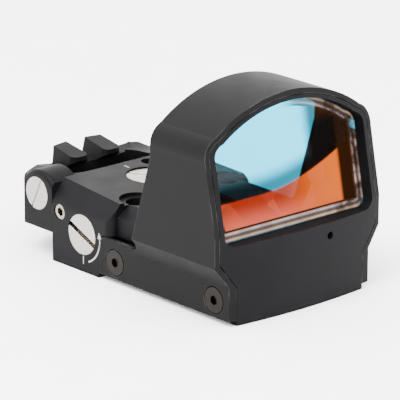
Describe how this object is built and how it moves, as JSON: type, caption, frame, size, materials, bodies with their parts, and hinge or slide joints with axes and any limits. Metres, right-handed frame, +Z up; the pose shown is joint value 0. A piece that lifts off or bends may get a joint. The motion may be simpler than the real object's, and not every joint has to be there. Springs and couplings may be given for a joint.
{
  "type": "red dot finder",
  "caption": "Compact open reflex sight with a raked coated objective under a screwed-on hood, slotted windage and elevation adjusters, a notch rear sight and a coin cell bay.",
  "frame": {"origin": "bottom centre of the sight's box, on the underside of the bottom plate", "axes": "+Z up, -Y the way the objective faces, +Y towards the notch rear sight, -X the side with the windage screw"},
  "size_m": [0.0324, 0.0522, 0.0321],
  "materials": {
    "anodised_black": "matte hard anodised, fine blasted grain",
    "silver_steel": "polished turned head",
    "black_steel": "black oxide",
    "coated_glass": "dichroic red-reflecting coating",
    "clear_glass": "clear",
    "dark_seal": "matte",
    "board_green": "solder mask on glass laminate",
    "chip_black": "moulded",
    "contact_gold": "plated",
    "cell_steel": "nickel plated",
    "mechanism_brass": "machined",
    "spring_steel": "drawn wire",
    "emitter_clear": "clear moulded",
    "sensor_dark": "smoked window"
  },
  "bodies": {
    "root": {"base_housing": "anodised_black", "hood_shroud": "anodised_black", "rear_sight_block": "anodised_black", "bottom_plate": "anodised_black", "objective_lens": "coated_glass", "lens_gasket": "dark_seal", "hood_screws": "black_steel", "rear_sight_screws": "silver_steel", "plate_screws": "black_steel", "guide_pins": "spring_steel", "elevation_spring": "spring_steel", "emitter_window": "clear_glass", "negative_contact": "contact_gold", "positive_contact": "contact_gold", "circuit_board": "board_green", "controller_chip": "chip_black", "mechanism_cover": "anodised_black", "light_sensor": "sensor_dark"},
    "windage_screw": {"windage_screw": "silver_steel", "windage_clip": "spring_steel"},
    "windage_nut": {"windage_nut": "mechanism_brass"},
    "elevation_screw": {"elevation_screw": "silver_steel", "elevation_clip": "spring_steel"},
    "elevation_carriage": {"elevation_carriage": "mechanism_brass"},
    "emitter": {"emitter_holder": "mechanism_brass", "led_emitter": "emitter_clear", "led_mask": "chip_black"},
    "windage_lock": {"windage_lock_screw": "silver_steel"},
    "elevation_lock": {"elevation_lock_screw": "black_steel"},
    "cap_seal": {"battery_cap_seal": "dark_seal"},
    "battery_cap": {"battery_cap": "anodised_black"},
    "coin_cell": {"coin_cell": "cell_steel"}
  },
  "joints": [
    {"name": "windage_turn", "type": "hinge", "parent": "root", "child": "windage_screw", "pos_m": [-0.01375, 0.0078, 0.0058], "axis": [-1, 0, 0], "range_deg": [-360, 360]},
    {"name": "windage_nut_slide", "type": "slide", "parent": "root", "child": "windage_nut", "axis": [1, 0, 0], "range_m": [-0.0005, 0.0005]},
    {"name": "elevation_turn", "type": "hinge", "parent": "root", "child": "elevation_screw", "pos_m": [0, 0.0082, 0.01225], "axis": [0, 0, 1], "range_deg": [-360, 360]},
    {"name": "elevation_slide", "type": "slide", "parent": "root", "child": "elevation_carriage", "axis": [0, 0, -1], "range_m": [-0.0005, 0.0005], "deforming": ["elevation_spring"]},
    {"name": "emitter_slide", "type": "slide", "parent": "elevation_carriage", "child": "emitter", "axis": [1, 0, 0], "range_m": [-0.00051, 0.00051]},
    {"name": "windage_lock_turn", "type": "hinge", "parent": "root", "child": "windage_lock", "pos_m": [-0.01375, 0.0131, 0.00804], "axis": [-1, 0, 0], "range_deg": [0, 180]},
    {"name": "elevation_lock_turn", "type": "hinge", "parent": "root", "child": "elevation_lock", "pos_m": [0.0039, 0.013, 0.012], "axis": [0, 0, 1], "range_deg": [0, 180]},
    {"name": "cap_lift", "type": "slide", "parent": "root", "child": "cap_seal", "axis": [0, 0, -1], "range_m": [0, 0.008]},
    {"name": "cap_turn", "type": "hinge", "parent": "cap_seal", "child": "battery_cap", "pos_m": [0, -0.0105, 0], "axis": [0, 0, -1], "range_deg": [0, 60]},
    {"name": "cell_lift", "type": "slide", "parent": "root", "child": "coin_cell", "axis": [0, 0, -1], "range_m": [0, 0.008]}
  ],
  "couplings": [
    {"joint": "windage_turn", "follows": "windage_nut_slide", "rad_per_m": 12566},
    {"joint": "emitter_slide", "follows": "windage_nut_slide", "ratio": 1},
    {"joint": "elevation_turn", "follows": "elevation_slide", "rad_per_m": 12566},
    {"joint": "cell_lift", "follows": "cap_lift", "ratio": 1}
  ]
}
